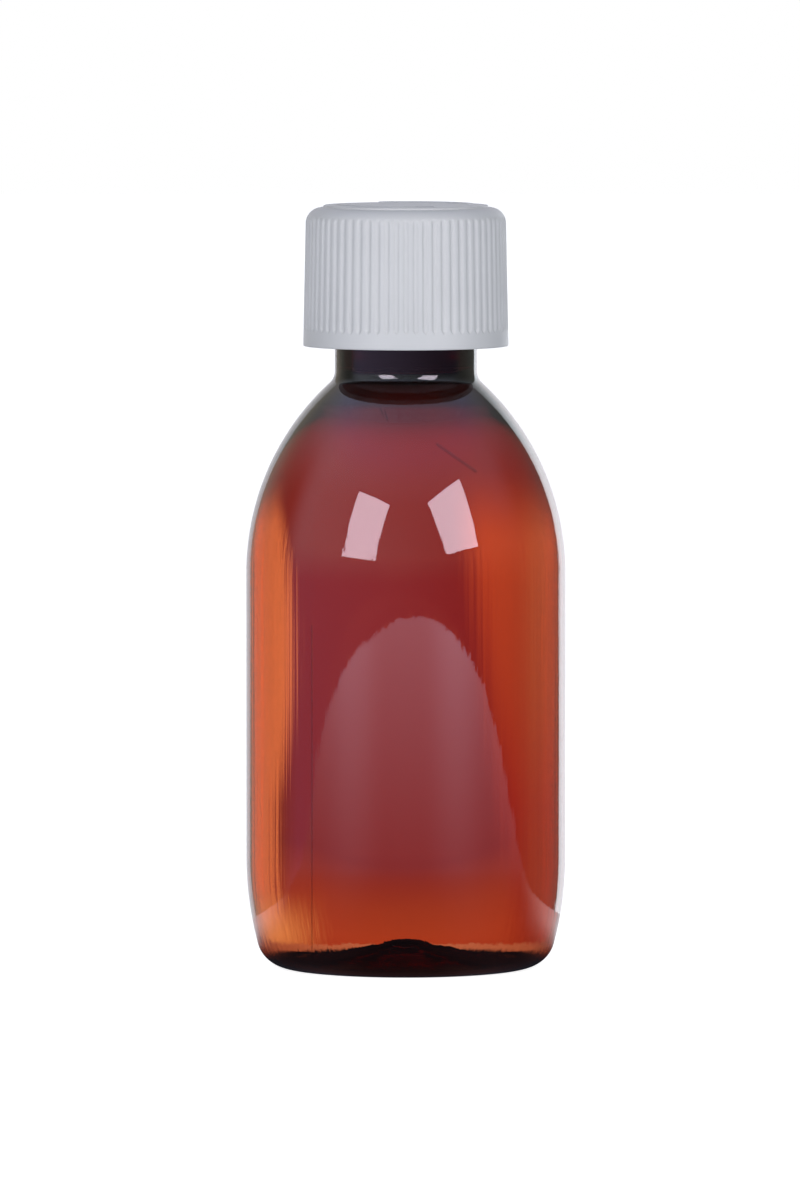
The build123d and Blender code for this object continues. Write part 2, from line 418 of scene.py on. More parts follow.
def moulded_plastic(name, dark, light, roughness, grain, subsurface=0.0):
    """Moulded plastic with a fine spark-eroded grain and a slightly uneven colour."""
    material, shader, _ = new_material(name)
    tree = material.node_tree
    cloud = streak_noise(tree, cloud_scale, 3.0)
    colour = ramp_between(tree, cloud.outputs["Fac"], dark, light)
    tree.links.new(colour.outputs["Color"], shader.inputs["Base Color"])
    shader.inputs["Roughness"].default_value = roughness
    shader.inputs["IOR"].default_value = 1.49
    if subsurface:
        shader.inputs["Subsurface Weight"].default_value = subsurface
        shader.inputs["Subsurface Radius"].default_value = (1.0, 0.95, 0.9)
        shader.inputs["Subsurface Scale"].default_value = 0.8 * MM
    fine = streak_noise(tree, grain_scale, 2.0)
    add_bump(tree, shader, fine.outputs["Fac"], grain, grain_depth)
    return material


amber_density = 2400.0
amber_colour = (0.870, 0.477, 0.206, 1)
throat_start = (105.5 * MM, 106.7 * MM)  # the wall is thickest between these two fades; the glass is tinted darker there as painted shade
throat_end = (111.0 * MM, 112.5 * MM)
throat_shade_colour = (0.32, 0.80, 0.90)
streak_scale = (900, 900, 12)
streak_depth = 0.030 * MM
streak_full = 76.0 * MM  # the streaks fade out on the shoulder
streak_none = 88.0 * MM
scratch_depth = 0.012 * MM
mark_colour = (0.10, 0.04, 0.05)
parting_x = body_radius * math.cos(parting_angle)
# (x, z) of both ends, half width, and how dark the mark is; 0 for a pale scratch
amber_marks = [
    ((parting_x, 0.003), (parting_x, 0.066), 0.00012, 0.75),
    ((parting_x, 0.066), (parting_x, 0.088), 0.00010, 0.15),
    ((0.0057, 0.0995), (0.0130, 0.0944), 0.00035, 0.45),
    ((-0.0048, 0.1061), (-0.0042, 0.1046), 0.00025, 0.60),
    ((-0.0039, 0.1054), (-0.0034, 0.1039), 0.00025, 0.60),
    ((-0.0152, 0.0938), (-0.0114, 0.0892), 0.00010, 0),
    ((-0.0135, 0.0944), (-0.0128, 0.0935), 0.00010, 0),
]
cloud_scale = (60, 60, 60)
grain_scale = (2600, 2600, 2600)
grain_depth = 0.03 * MM
amber = amber_material()
shell_white = moulded_plastic("shell_white", (0.70, 0.695, 0.695), (0.735, 0.73, 0.73), 0.42, 0.25)
cap_natural = moulded_plastic("cap_natural", (0.74, 0.74, 0.72), (0.79, 0.79, 0.77), 0.35, 0.15, 0.2)
spring_white = moulded_plastic("spring_white", (0.76, 0.76, 0.74), (0.81, 0.81, 0.79), 0.33, 0.1, 0.2)
band_white = moulded_plastic("band_white", (0.73, 0.745, 0.77), (0.77, 0.785, 0.81), 0.4, 0.2)
foam = moulded_plastic("foam_wad", (0.80, 0.80, 0.77), (0.88, 0.88, 0.85), 0.75, 0.8)


# ---------- bottle
def thread_relief(angle, height, start, turns):
    """Height of a right-hand thread ridge over its root surface, faded in and out at its ends."""
    relief = np.zeros_like(angle)
    for lap in range(math.ceil(turns) + 1):
        travel = angle + 2 * math.pi * lap
        along = travel / (2 * math.pi * turns)
        centre = start + thread_pitch * travel / (2 * math.pi)
        away = np.abs(height - centre)
        ridge = 1 - smooth(ridge_crest_width / 2, ridge_foot_width / 2, away)
        ends = smooth(0, thread_fade, along) * (1 - smooth(1 - thread_fade, 1, along))
        inside = (along > 0) & (along < 1)
        relief = np.maximum(relief, np.where(inside, ridge * ends, 0))
    return relief * thread_depth


def lug_relief(pitches):
    """Sawtooth lugs from 0 beside them up to 1, one in the middle of every pitch."""
    past = pitches % 1 * lug_spacing - lug_spacing / 2
    rise = np.clip((past + lug_half_width) / lug_slope, 0, 1)
    return rise * (np.abs(past) < lug_half_width)


def near_angle(angle, target, radius):
    """Distance along the surface from a vertical line at an angle."""
    return np.abs((angle - target + math.pi) % (2 * math.pi) - math.pi) * radius


def bottle_relief(angle, radius, height):
    """Thread, parting line and the creases of the pushed-up base."""
    outside = np.indices(angle.shape)[0] >= lip_index
    in_thread = outside & (height > bead_bottom + 2.2 * MM) & (height < seal_height - 0.6 * MM)
    out = np.where(in_thread, thread_relief(angle, height, thread_start, thread_turns), 0)
    for side in (parting_angle, parting_angle - math.pi):
        away = near_angle(angle, side, radius)
        seam = (1 - smooth(0, parting_width, away)) * parting_height
        out += np.where(outside & (radius > neck_radius * 0.99), seam, 0)
    creases = np.full_like(angle, crease_base)
    for waves, strength, turn in crease_waves:
        creases += strength * np.sin(waves * angle + turn)
    reach = smooth(*crease_start, radius) * (1 - smooth(*crease_end, radius))
    return out, np.where(height < crease_limit, creases * reach * crease_height, 0)


def shifted(centre, distance, degrees):
    """Point at a distance from a centre, in a direction given in degrees."""
    turn = math.radians(degrees)
    return (centre[0] + distance * math.cos(turn), centre[1] + distance * math.sin(turn))


def bottle_profile():
    """Inside from the floor's centre up to the lip, then the outside down to the gate."""
    heel_centre = (ring_outer, heel_radius)
    heel_end = shifted(heel_centre, heel_radius, -heel_turn)
    side_radius = (body_radius - heel_end[0]) / (1 - math.cos(math.radians(heel_turn)))
    side_centre = shifted(heel_end, -side_radius, -heel_turn)
    arc_centre = body_radius - shoulder_radius
    inner_radius = body_radius - body_wall
    thin_centre = (inner_radius - thin_arc, shoulder_start)
    thickening_centre = shifted(thin_centre, thin_arc - thickening_arc, thin_arc_end)
    cone_start = shifted(thickening_centre, thickening_arc, thickening_end)
    mouth_round = 0.6 * MM
    cone_height = (cone_start[0] - bore_radius) / math.tan(math.radians(thickening_end))
    bore_base = cone_start[1] + cone_height
    cone_end = (bore_radius + mouth_round / 2, bore_base - mouth_round / 2)
    dome_edge = ring_outer - ring_width
    outward = np.linspace(0, 1, 26)
    rise = dome_rise * (1 - smooth(0.1, 1.0, outward)) + bump_rise * (1 - smooth(0.12, 0.26, outward))
    floor_thickness = body_wall + (base_thickness - body_wall) * (1 - outward)
    inner_dome = np.column_stack((outward * ring_outer, rise + floor_thickness))
    outer_dome = np.column_stack((outward * dome_edge, rise))[::-1]
    gate = outer_dome[:, 0] < gate_radius
    outer_dome[gate, 1] -= gate_height
    inner_lip = 0.4 * MM
    lip = 0.5 * MM
    inside = outline(
        inner_dome,
        arc(heel_centre, heel_radius - body_wall, 270, 360 - heel_turn, 30),
        arc(side_centre, side_radius - body_wall, -heel_turn, 0, 16),
        line((inner_radius, side_centre[1]), (inner_radius, shoulder_start), 12),
        arc(thin_centre, thin_arc, 0, thin_arc_end, 30),
        arc(thickening_centre, thickening_arc, thin_arc_end, thickening_end, 24),
        line(cone_start, cone_end, 12),
        line((bore_radius, bore_base + mouth_round / 2), (bore_radius, seal_height - inner_lip), 12),
        arc((bore_radius + inner_lip, seal_height - inner_lip), inner_lip, 180, 90, 5),
    )
    fillet_radius = neck_radius + neck_fillet
    fillet_turn = math.acos((fillet_radius - arc_centre) / (shoulder_radius + neck_fillet))
    fillet_angle = math.degrees(fillet_turn)
    fillet_height = shoulder_start + (shoulder_radius + neck_fillet) * math.sin(fillet_turn)
    outside = outline(
        arc((thread_root - lip, seal_height - lip), lip, 90, 0, 6),
        line((thread_root, seal_height - lip), (thread_root, bead_bottom + 2.4 * MM), 110),
        line((thread_root, bead_bottom + 2.4 * MM), (bead_radius, bead_bottom + 1.0 * MM), 8),
        arc((bead_radius - 0.25 * MM, bead_bottom + 0.75 * MM), 0.25 * MM, 20, -20, 4),
        arc((bead_radius - 0.25 * MM, bead_bottom + 0.25 * MM), 0.25 * MM, 0, -90, 5),
        arc((neck_radius + 0.2 * MM, bead_bottom - 0.2 * MM), 0.2 * MM, 90, 180, 4),
        line((neck_radius, bead_bottom - 0.2 * MM), (neck_radius, fillet_height), 14),
        arc((fillet_radius, fillet_height), neck_fillet, 180, 180 + fillet_angle, 20),
        arc((arc_centre, shoulder_start), shoulder_radius, fillet_angle, 0, 64),
        line((body_radius, shoulder_start), (body_radius, side_centre[1]), 24),
        arc(side_centre, side_radius, 0, -heel_turn, 20),
        arc(heel_centre, heel_radius, 360 - heel_turn, 270, 30),
        line((ring_outer, 0), (dome_edge, 0), 3),
        outer_dome,
    )
    return inside, outside


inside, outside = bottle_profile()
lip_index = len(inside)
bottle_angles = np.concatenate(
    [even_angles(384)]
    + [side + np.linspace(-0.011, 0.011, 13) for side in (parting_angle, parting_angle - math.pi)]
)
bottle_angles = np.unique(np.round(bottle_angles % (2 * math.pi), 5))
verts, faces = lathe_parts(np.vstack((inside, outside)), bottle_angles, bottle_relief)
finish_mesh("bottle_glass", verts, faces, "bottle_body", amber, ["bottle"])


# ---------- outer shell
def shell_surface(height):
    """Crest radius of the tapered shell at a height."""
    return shell_high.x - (height - shell_low.z) * shell_taper


def shell_relief(angle, radius, height):
    """Grip ribs round the wall, turn arrows on the disc and ratchet lugs under the ceiling."""
    index = np.indices(angle.shape)[0]
    pitch = 2 * math.pi / rib_count
    across = np.abs(((angle / pitch + 0.5) % 1 - 0.5) * pitch * radius)
    groove = smooth(*groove_side, across - rib_half_width)
    round_end = 0.8 * (pitch * radius / 2 - across)
    above_foot = smooth(*rib_foot, height - round_end)
    depth = np.clip(radius - shell_surface(height) + rib_depth, 0, rib_depth)
    ribbed = (index >= ribbed_index[0]) & (index < ribbed_index[1])
    out = np.where(ribbed, -groove * above_foot * depth, 0)

    up = np.where(index < disc_index, arrow_relief(angle, radius) * arrow_height, 0)
    in_ring = (radius > lug_inner - lug_gap) & (radius < lug_outer + lug_gap)
    up -= np.where((index >= ceiling_index) & in_ring, lug_relief(angle / lug_pitch) * lug_height, 0)
    return out, up


def arrow_relief(angle, radius):
    """1 on two curved arrows that show which way the closure opens, 0 beside them."""
    mean, half, head_half, head_length = 12.3 * MM, 0.65 * MM, 1.75 * MM, 3.2 * MM
    sweep = math.radians(100)
    relief = np.zeros_like(angle)
    for start in (0, math.pi):
        along = (angle - start) % (2 * math.pi)
        past = (along - sweep) * mean
        width = np.where(past < 0, half, head_half * (1 - past / head_length))
        side = width - np.abs(radius - mean)
        ahead = np.where(past < 0, np.minimum(along * mean, half), head_length - past)
        relief = np.maximum(relief, smooth(-0.06 * MM, 0.06 * MM, np.minimum(side, ahead)))
    return relief


def shell_profile():
    """Disc, corner, ribbed wall, rim, then the inside up to the ceiling."""
    wall_top = disc_base - shell_corner
    corner_centre = (shell_surface(wall_top) - shell_corner, wall_top)
    disc_round = 0.28 * MM
    disc_foot = 0.12 * MM
    inner_corner = 1.5 * MM
    rim = 0.15 * MM
    wall_inner = shell_high.x - shell_wall
    top_inner = shell_surface(disc_base) - shell_wall
    disc = outline(
        line((0, disc_top), (8 * MM, disc_top), 3),
        line((8 * MM, disc_top), (disc_radius - disc_round, disc_top), 60),
        arc((disc_radius - disc_round, disc_top - disc_round), disc_round, 90, 0, 6),
    )
    corner_part = outline(
        arc((disc_radius + disc_foot, disc_base + 0.1 * MM), disc_foot, 180, 270, 4),
        arc(corner_centre, shell_corner, 90, math.degrees(math.atan(shell_taper)), 30),
    )
    heights = np.linspace(wall_top, shell_low.z + rim, 104)
    wall = np.column_stack((shell_surface(heights), heights))
    rim_part = arc((shell_high.x - rim, shell_low.z + rim), rim, 0, -90, 6)
    inside_part = outline(
        arc((wall_inner + rim * 0.6, shell_low.z + rim * 0.6), rim * 0.6, 270, 180, 5),
        line((wall_inner, shell_low.z + 0.5 * MM), (wall_inner, snap_top - 1.3 * MM), 3),
        line((wall_inner, snap_top - 1.3 * MM), (snap_radius + 0.1 * MM, snap_top - 0.65 * MM), 4),
        line((snap_radius, snap_top - 0.55 * MM), (snap_radius, snap_top - 0.08 * MM), 3),
        line((snap_radius + 0.08 * MM, snap_top), (wall_inner - 0.05 * MM, snap_top), 3),
        line((wall_inner - 0.02 * MM, snap_top + 0.1 * MM), (top_inner, ceiling - inner_corner), 12),
        arc((top_inner - inner_corner, ceiling - inner_corner), inner_corner, 0, 90, 8),
    )
    ring_inner, ring_outer_edge = lug_inner - lug_gap, lug_outer + lug_gap
    ceiling_part = outline(
        line((top_inner - inner_corner, ceiling), (ring_outer_edge + edge, ceiling), 3),
        line((ring_outer_edge - edge, ceiling), (ring_inner + edge, ceiling), 8),
        line((ring_inner - edge, ceiling), (0, ceiling), 6),
    )
    return disc, corner_part, wall, rim_part, inside_part, ceiling_part


parts = shell_profile()
counts = np.cumsum([len(p) for p in parts])
disc_index = counts[0]
ribbed_index = (counts[0], counts[2])
ceiling_index = counts[4]
verts, faces = lathe_parts(np.vstack(parts), even_angles(rib_count * 14), shell_relief)
finish_mesh("closure_shell", verts, faces, "shell_body", shell_white, ["outer_cap"])


# ---------- inner cap
def inner_relief(angle, radius, height):
    """Thread inside, grip flutes outside and ratchet lugs on top."""
    index = np.indices(angle.shape)[0]
    ridge = thread_relief(angle, height, thread_start - thread_pitch / 2, 2.0)
    flute = smooth(0.55, 0.95, 0.5 + 0.5 * np.cos(flute_count * angle))
    on_wall = (index >= wall_start) & (index < top_start)
    out = np.where(index < bore_end, -ridge, 0) - np.where(on_wall, flute * flute_depth, 0)
    on_top = (index >= top_start) & (radius > lug_inner) & (radius < lug_outer)
    return out, np.where(on_top, lug_relief(angle / lug_pitch + 0.5) * lug_height, 0)


flute_count = 48
flute_depth = 0.18 * MM
plate_top = inner_high.z - lug_height
plate_bottom = plate_top - 1.2 * MM
inner_bore = 14.0 * MM
inner_outer = 15.4 * MM
flange = inner_high.x
entry = 0.6 * MM
bore_part = outline(
    line((0, plate_bottom), (inner_bore - 0.3 * MM, plate_bottom), 6),
    arc((inner_bore - 0.3 * MM, plate_bottom - 0.3 * MM), 0.3 * MM, 90, 0, 4),
    line((inner_bore, plate_bottom - 0.3 * MM), (inner_bore, inner_low.z + 1.8 * MM), 130),
    line((inner_bore + entry, inner_low.z + 1.2 * MM), (inner_bore + entry, inner_low.z + 0.2 * MM), 3),
)
flange_part = outline(
    arc((inner_bore + entry + 0.2 * MM, inner_low.z + 0.2 * MM), 0.2 * MM, 180, 270, 4),
    line((flange - entry, inner_low.z), (flange, inner_low.z + entry), 4),
    arc((flange - 0.2 * MM, inner_low.z + 1.0 * MM), 0.2 * MM, 0, 90, 4),
    line((inner_outer + 0.3 * MM, inner_low.z + 1.25 * MM), (inner_outer, inner_low.z + 1.8 * MM), 4),
)
outer_part = line((inner_outer, inner_low.z + 2.2 * MM), (inner_outer, plate_top - 1.0 * MM), 12)
top_part = outline(
    arc((inner_outer - 0.6 * MM, plate_top - 0.6 * MM), 0.6 * MM, 0, 90, 6),
    line((lug_outer + edge, plate_top), (lug_outer - edge, plate_top), 2),
    line((lug_outer - 2 * edge, plate_top), (lug_inner + 2 * edge, plate_top), 8),
    line((lug_inner - edge, plate_top), (0, plate_top), 6),
)
bore_end = len(bore_part)
wall_start = bore_end + len(flange_part)
top_start = wall_start + len(outer_part)
inner_profile = np.vstack((bore_part, flange_part, outer_part, top_part))
verts, faces = lathe_parts(inner_profile, even_angles(720), inner_relief)
finish_mesh(
    "closure_inner_cap", verts, faces, "inner_cap_body", cap_natural, ["inner_cap"]
)


# ---------- liner
def liner_relief(angle, radius, height):
    """Ring pressed into the foam by the bottle's lip."""
    mouth = (bore_radius + thread_root) / 2
    press = 1 - smooth(0.5 * MM, 1.3 * MM, np.abs(radius - mouth))
    under = height < (liner_low.z + liner_high.z) / 2
    return np.zeros_like(angle), np.where(under, press * 0.04 * MM, 0)


liner_radius = liner_high.x
liner_edge = 0.18 * MM
liner_profile = outline(
    line((0, liner_low.z), (liner_radius - liner_edge, liner_low.z), 40),
    arc((liner_radius - liner_edge, liner_low.z + liner_edge), liner_edge, 270, 360, 5),
    arc((liner_radius - liner_edge, liner_high.z - liner_edge), liner_edge, 0, 90, 5),
    line((liner_radius - liner_edge, liner_high.z), (0, liner_high.z), 4),
)
verts, faces = lathe_parts(liner_profile, even_angles(192), liner_relief)
finish_mesh("closure_liner", verts, faces, "liner_body", foam, ["liner"])


# ---------- tamper band
def band_relief(angle, radius, height):
    """Stubs of the cut bridges round the top edge."""
    stub = (angle / stub_pitch + 0.5) % 1 - 0.5
    width = np.abs(stub) * stub_pitch * radius
    across = np.abs(radius - stub_circle)
    on_top = height > band_high.z - 0.27 * MM
    stub_shape = (1 - smooth(*stub_side, width)) * (1 - smooth(*stub_side, across))
    return np.zeros_like(angle), np.where(on_top, stub_shape * stub_height, 0)


stub_pitch = math.pi / 6
stub_circle = 15.0 * MM
stub_side = (0.25 * MM, 0.4 * MM)  # start and end of a stub's side, from its middle
stub_height = 0.22 * MM
band_inner = 13.6 * MM
groove_depth = 0.5 * MM  # step inside the top edge
band_outer = band_high.x
band_top = band_high.z - 0.25 * MM
soft = 0.25 * MM
band_profile = outline(
    line((band_inner, band_low.z + 0.3 * MM), (band_inner + 0.3 * MM, band_low.z), 3),
    arc((band_outer - soft, band_low.z + soft), soft, 270, 360, 5),
    arc((band_outer - soft, band_top - soft), soft, 0, 90, 5),
    line((band_outer - soft, band_top), (14.65 * MM, band_top), 12),
    line((14.6 * MM, band_top - 0.05 * MM), (14.6 * MM, band_top - groove_depth), 3),
    line((14.5 * MM, band_top - groove_depth), (band_inner, band_top - groove_depth), 3),
)
verts, faces = lathe_parts(band_profile, even_angles(480), band_relief, closed=True)
finish_mesh("neck_tamper_band", verts, faces, "bottle_body", band_white, ["tamper_band"])


# ---------- spring fingers
def ring_parts(inner, outer, low, high, count):
    """Flat ring with rounded edges."""
    r = 0.12 * MM
    profile = outline(
        arc((inner + r, low + r), r, 180, 270, 4),
        arc((outer - r, low + r), r, 270, 360, 4),
        arc((outer - r, high - r), r, 0, 90, 4),
        arc((inner + r, high - r), r, 90, 180, 4),
    )
    return lathe_parts(profile, even_angles(count), closed=True)


def blunt(value, power):
    """Power that keeps the value's sign; below 1 it makes a round section squarer."""
    return math.copysign(abs(value) ** power, value)


def finger_parts(turn):
    """One finger: an arc that leaves the ring level and slopes down to its rounded tip."""
    mean = 7.1 * MM
    half_width = 0.9 * MM
    thickness = 0.5 * MM
    sweep = math.radians(44)
    root = spring_high.z - 0.3 * MM
    tip = spring_low.z
    taper = 0.25
    round_start = 0.88
    sections, steps = 12, 15
    verts, faces = [], []
    for i in range(steps):
        t = i / (steps - 1)
        angle = turn + sweep * (t - 0.5)
        middle = root + (tip + thickness / 2 - root) * smooth(0.05, 1.0, np.float64(t))
        in_end = max((t - round_start) / (1 - round_start), 0)
        width = half_width * (1 - taper * t) * math.sqrt(max(1 - in_end**2, 0.02))
        for k in range(sections):
            a = 2 * math.pi * k / sections
            radius = mean + width * blunt(math.cos(a), 0.4)
            rise = thickness / 2 * blunt(math.sin(a), 0.5)
            verts.append((radius * math.cos(angle), radius * math.sin(angle), middle + rise))
    for i in range(steps - 1):
        for k in range(sections):
            n = (k + 1) % sections
            here, ahead = i * sections, (i + 1) * sections
            faces.append((here + k, here + n, ahead + n, ahead + k))
    faces.append(tuple(range(sections)))
    faces.append(tuple(range((steps - 1) * sections, steps * sections)))
    return verts, faces


finger_count = 6
verts, faces = ring_parts(5.6 * MM, spring_high.x, spring_high.z - 0.6 * MM, spring_high.z, 144)
for turn in even_angles(finger_count):
    more_verts, more_faces = finger_parts(turn)
    faces += [tuple(v + len(verts) for v in face) for face in more_faces]
    verts += more_verts
fingers = finish_mesh(
    "closure_spring_fingers", verts, faces, "spring_body", spring_white, ["spring_fingers"]
)
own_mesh(fingers)


# ---------- studio
def direction(azimuth, elevation):
    """Unit vector from the object; azimuth 0 is towards the camera, positive to its right."""
    a, e = math.radians(azimuth), math.radians(elevation)
    return Vector((math.sin(a) * math.cos(e), -math.cos(a) * math.cos(e), math.sin(e)))


def stage_object(name, mesh, **seen_by):
    """Stage piece that only the named kinds of ray can see."""
    item = bpy.data.objects.new(name, mesh)
    bpy.context.scene.collection.objects.link(item)
    for kind in ("camera", "diffuse", "glossy", "transmission", "shadow"):
        setattr(item, f"visible_{kind}", seen_by.get(kind, False))
    return item


def emission_material(name):
    """White material that only glows, its node tree and its emission node."""
    material, tree, output = bare_material(name)
    glow = tree.nodes.new("ShaderNodeEmission")
    glow.inputs["Color"].default_value = (1, 1, 1, 1)
    tree.links.new(glow.outputs["Emission"], output.inputs["Surface"])
    return material, tree, glow


def polygon(name, corners):
    """Mesh with a single flat face."""
    mesh = bpy.data.meshes.new(name)
    mesh.from_pydata([tuple(c) for c in corners], [], [tuple(range(len(corners)))])
    return mesh


def stray_light(tree, crossings):
    """1 for rays scattered by a matt surface, or mirrored after more than so many glass crossings."""
    path = tree.nodes.new("ShaderNodeLightPath")
    mirrored = math_node(tree, "GREATER_THAN", path.outputs["Glossy Depth"], 0.5)
    crossed = math_node(tree, "GREATER_THAN", path.outputs["Transmission Depth"], crossings)
    scattered = math_node(tree, "GREATER_THAN", path.outputs["Diffuse Depth"], 0.5)
    return math_node(tree, "MAXIMUM", scattered, times(tree, mirrored, crossed))


def make_world():
    """White to the camera, soft to matt surfaces, and a room with a bright wall behind to shiny ones."""
    world = bpy.data.worlds.new("studio")
    bpy.context.scene.world = world
    world.use_nodes = True
    tree = world.node_tree
    tree.nodes.clear()
    output = tree.nodes.new("ShaderNodeOutputWorld")
    path = tree.nodes.new("ShaderNodeLightPath")
    x, y, z, _ = coordinates(tree, "Generated")

    height = math_node(tree, "DIVIDE", minus(tree, z, room_bottom), room_span)
    stops = [((level - room_bottom) / room_span, shade) for level, shade in room_levels]
    room = ramp_node(tree, height, stops)
    lean = minus(tree, 1.0, times(tree, x, room_lean))
    sides = plus(tree, times(tree, x, upper_lean), times(tree, times(tree, x, x), upper_bow))
    lean = plus(tree, lean, times(tree, sides, step_node(tree, z, *upper_start)))
    room = scale_node(tree, room, lean)
    behind = times(tree, step_node(tree, y, *behind_start), fade_node(tree, z, *behind_top))
    turn = math_node(tree, "ARCTAN2", x, y)
    beside_wall = times(tree, step_node(tree, turn, *glow_reach), fade_node(tree, turn, *glow_end))
    room = mix_node(tree, behind, room, mix_node(tree, beside_wall, side_light, left_glow))

    from_left = step_node(tree, turn, wall_left - wall_edge, wall_left + wall_edge)
    to_right = fade_node(tree, turn, wall_right - wall_edge, wall_right + wall_edge)
    in_wall = times(tree, times(tree, from_left, to_right), fade_node(tree, z, *wall_top))
    past_left = minus(tree, turn, wall_left)
    across = math_node(tree, "DIVIDE", past_left, wall_right - wall_left)
    mirrored = ramp_node(tree, across, wall_mirrored)
    wall = mix_node(tree, path.outputs["Is Transmission Ray"], mirrored, wall_light)
    studio = mix_node(tree, in_wall, room, wall)
    studio = mix_node(tree, stray_light(tree, 0.5), studio, scale_node(tree, studio, room_stray))

    soft = mix_node(tree, step_node(tree, y, -1.0, 0.6), front_soft, back_soft)
    upright = mix_node(tree, step_node(tree, z, -0.4, 0.4), soft_below, soft_above)
    soft = vector_node(tree, "MULTIPLY", soft, upright).outputs[0]
    seen = mix_node(tree, path.outputs["Is Diffuse Ray"], studio, soft)
    seen = mix_node(tree, path.outputs["Is Camera Ray"], seen, (1.0, 1.0, 1.0))
    background = tree.nodes.new("ShaderNodeBackground")
    tree.links.new(seen, background.inputs["Color"])
    tree.links.new(background.outputs[0], output.inputs[0])


room_bottom = -0.1
room_span = 1.1
room_levels = [  # heights of a ray's direction, and the room's colour there
    (-0.08, (0.27, 0.22, 0.38)),
    (0.15, (0.50, 0.52, 0.60)),
    (0.50, (0.50, 0.54, 0.62)),
    (0.64, (0.60, 0.66, 0.80)),
    (0.80, (0.68, 0.74, 1.08)),
    (0.93, (0.75, 0.82, 1.12)),
]
room_lean = 0.6  # the left is brighter by this; higher up both sides gain again
upper_start = (0.2, 0.6)
upper_lean = 0.25
upper_bow = 0.45
room_stray = 0.2
behind_start = (-0.15, 0.25)
behind_top = (0.3, 0.8)
side_light = (0.22, 0.22, 0.20)
left_glow = (0.52, 0.47, 0.40)
glow_reach = (math.radians(-72), math.radians(-30))
glow_end = (0.0, 0.1)
wall_light = (0.9, 1.3, 1.5)
wall_left = math.radians(-27)
wall_right = math.radians(34)
wall_edge = 0.005
wall_top = (0.1, 0.7)
wall_mirrored = [  # share of the wall's width from the left, and its colour in reflections
    (0.0, (1.05, 1.03, 1.08)),
    (0.44, (0.95, 0.93, 0.98)),
    (0.61, (1.27, 1.24, 1.31)),
    (0.70, (1.50, 1.47, 1.54)),
    (0.80, (1.85, 1.86, 1.95)),
    (0.88, (2.15, 2.25, 2.37)),
    (1.0, (2.10, 2.20, 2.32)),
]
front_soft = (0.35, 0.38, 0.435)
back_soft = (0.25, 0.273, 0.318)
soft_below = (1.5, 1.48, 1.45)
soft_above = (0.55, 0.57, 0.60)
make_world()


def make_floor():
    """Pale paper that the camera sees under and behind the bottle."""
    mesh = polygon("floor", [(-4, -4, 0), (4, -4, 0), (4, 4, 0), (-4, 4, 0)])
    stage_object("floor", mesh, camera=True)
    material, shader, _ = new_material("floor_paper")
    shader.inputs["Base Color"].default_value = (0.86, 0.86, 0.87, 1)
    shader.inputs["Roughness"].default_value = 0.9
    shader.inputs["Emission Color"].default_value = (1, 1, 1, 1)
    shader.inputs["Emission Strength"].default_value = 0.9
    mesh.materials.append(material)


def smooth_outline(corners):
    """Closed outline with its corners cut back twice, which leaves them nearly round."""
    points = np.array(corners, float)
    for _ in range(2):
        following = np.roll(points, -1, axis=0)
        near, far = 0.75 * points + 0.25 * following, 0.25 * points + 0.75 * following
        points = np.stack((near, far), 1).reshape(-1, 2)
    return points


def make_table():
    """Glowing table top that the glass mirrors: bluish with two painted glares in front, white behind, and
    a painted shadow round the bottle's foot.
    """
    mesh = polygon("table_mirror", [(px, py, 0.0) for px, py in smooth_outline(table_corners)])
    stage_object("table_mirror", mesh, glossy=True, transmission=True)
    material, tree, glow = emission_material("table_white")
    x, y, _, place = coordinates(tree, "Object")
    away = vector_node(tree, "LENGTH", place).outputs["Value"]
    azimuth = math_node(tree, "ARCTAN2", x, times(tree, y, -1.0))
    patches = []
    for centre in glare_azimuths:
        off = math_node(tree, "ABSOLUTE", minus(tree, azimuth, math.radians(centre)))
        patches.append(fade_node(tree, off, 0.0, glare_reach))
    glare = plus(tree, *patches)
    strength = plus(tree, table_glow, times(tree, glare, glare_glow))
    # painted shade: the table's glow grows with distance from the bottle
    strength = times(tree, strength, times(tree, away, outward_gain))
    front = scale_node(tree, rgb_node(tree, table_front), strength)
    path = tree.nodes.new("ShaderNodeLightPath")
    # painted shadow round the bottle's foot
    mirrored = step_node(tree, away, *foot_shadow_mirrored)
    through = step_node(tree, away, *foot_shadow_through)
    straight = path.outputs["Is Transmission Ray"]
    bounced = minus(tree, 1.0, straight)
    shade = plus(tree, times(tree, through, straight), times(tree, mirrored, bounced))
    back = scale_node(tree, rgb_node(tree, table_back), shade)
    colour = mix_node(tree, step_node(tree, y, -0.02, 0.02), front, back)
    # painted shade: the table glows dimmer to stray rays
    colour = mix_node(tree, stray_light(tree, 2.5), colour, scale_node(tree, colour, table_stray))
    tree.links.new(colour, glow.inputs["Color"])
    mesh.materials.append(material)


table_corners = [  # seen from above, anticlockwise from the front
    (0.06, -1.035), (0.33, -0.985), (0.55, -0.80), (0.64, -0.60),
    (0.655, -0.40), (0.56, -0.20), (0.41, -0.075), (0.27, -0.005),
    (0.12, -0.003), (0.08, 0.018), (0.062, 0.045), (0.035, 0.10),
    (-0.03, 0.10), (-0.053, 0.048), (-0.073, 0.013), (-0.10, -0.012),
    (-0.18, -0.028), (-0.29, -0.072), (-0.41, -0.155), (-0.54, -0.26),
    (-0.605, -0.42), (-0.575, -0.66), (-0.44, -0.84), (-0.20, -1.00),
]
table_front = (0.62, 0.72, 1.0)
table_back = (0.9, 0.86, 0.9)
table_glow = 0.95
table_stray = 0.25
outward_gain = 1.72  # per metre from the bottle; painted shade, darker near the bottle
glare_azimuths = (-39, 36)
glare_reach = math.radians(26)
glare_glow = 0.5
foot_shadow_mirrored = (0.028, 0.064)  # painted shadow round the foot, from dark to bright, as reflections and through the glass
foot_shadow_through = (0.026, 0.032)
make_floor()
make_table()


